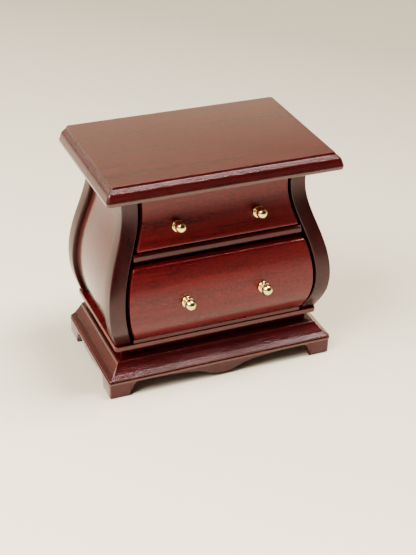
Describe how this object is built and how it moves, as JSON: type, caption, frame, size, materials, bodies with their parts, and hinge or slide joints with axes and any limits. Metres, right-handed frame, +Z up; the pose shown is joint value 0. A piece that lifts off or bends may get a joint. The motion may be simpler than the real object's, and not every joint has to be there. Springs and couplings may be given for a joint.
{
  "type": "miniature chest of drawers",
  "caption": "Dolls house chest with a swelling bombe case, sliding drawers with round brass knobs, a moulded top, and a stepped base on scalloped bracket feet.",
  "frame": {"origin": "on the floor, at the centre of the whole object's footprint box, knobs included", "axes": "+Z up, -Y to the front where the drawers open, +X to the right of a person facing the front"},
  "size_m": [0.0768, 0.0512, 0.0726],
  "materials": {
    "mahogany": "dark red mahogany stain under gloss varnish, worn lighter on the edges",
    "plain_wood": "thin stain on bare close-grained wood, matt",
    "brass": "polished turned brass"
  },
  "bodies": {
    "carcass": {"top_board": "mahogany", "back_panel": "mahogany", "drawer_shelf": "mahogany", "bottom_board": "mahogany", "bottom_rail": "mahogany", "top_rail": "mahogany", "riser": "mahogany", "base_board": "plain_wood", "base_back_rail": "mahogany", "base_moulding_front": "mahogany", "apron_front": "mahogany", "front_post_left": "mahogany", "back_post_left": "mahogany", "side_panel_left": "mahogany", "upper_guide_left": "plain_wood", "lower_runner_left": "plain_wood", "base_moulding_left": "mahogany", "apron_left": "mahogany", "corner_block_front_left": "plain_wood", "corner_block_back_left": "plain_wood", "front_post_right": "mahogany", "back_post_right": "mahogany", "side_panel_right": "mahogany", "upper_guide_right": "plain_wood", "lower_runner_right": "plain_wood", "base_moulding_right": "mahogany", "apron_right": "mahogany", "corner_block_front_right": "plain_wood", "corner_block_back_right": "plain_wood"},
    "upper_drawer": {"upper_drawer_front": "mahogany", "upper_drawer_back": "plain_wood", "upper_drawer_bottom": "plain_wood", "upper_drawer_side_left": "plain_wood", "upper_drawer_side_right": "plain_wood", "upper_knob_left": "brass", "upper_knob_right": "brass"},
    "lower_drawer": {"lower_drawer_front": "mahogany", "lower_drawer_back": "plain_wood", "lower_drawer_bottom": "plain_wood", "lower_drawer_side_left": "plain_wood", "lower_drawer_side_right": "plain_wood", "lower_knob_left": "brass", "lower_knob_right": "brass"}
  },
  "joints": [
    {"name": "upper_drawer_slide", "type": "slide", "parent": "carcass", "child": "upper_drawer", "axis": [0, -1, 0], "range_m": [0, 0.022]},
    {"name": "lower_drawer_slide", "type": "slide", "parent": "carcass", "child": "lower_drawer", "axis": [0, -1, 0], "range_m": [0, 0.026]}
  ]
}
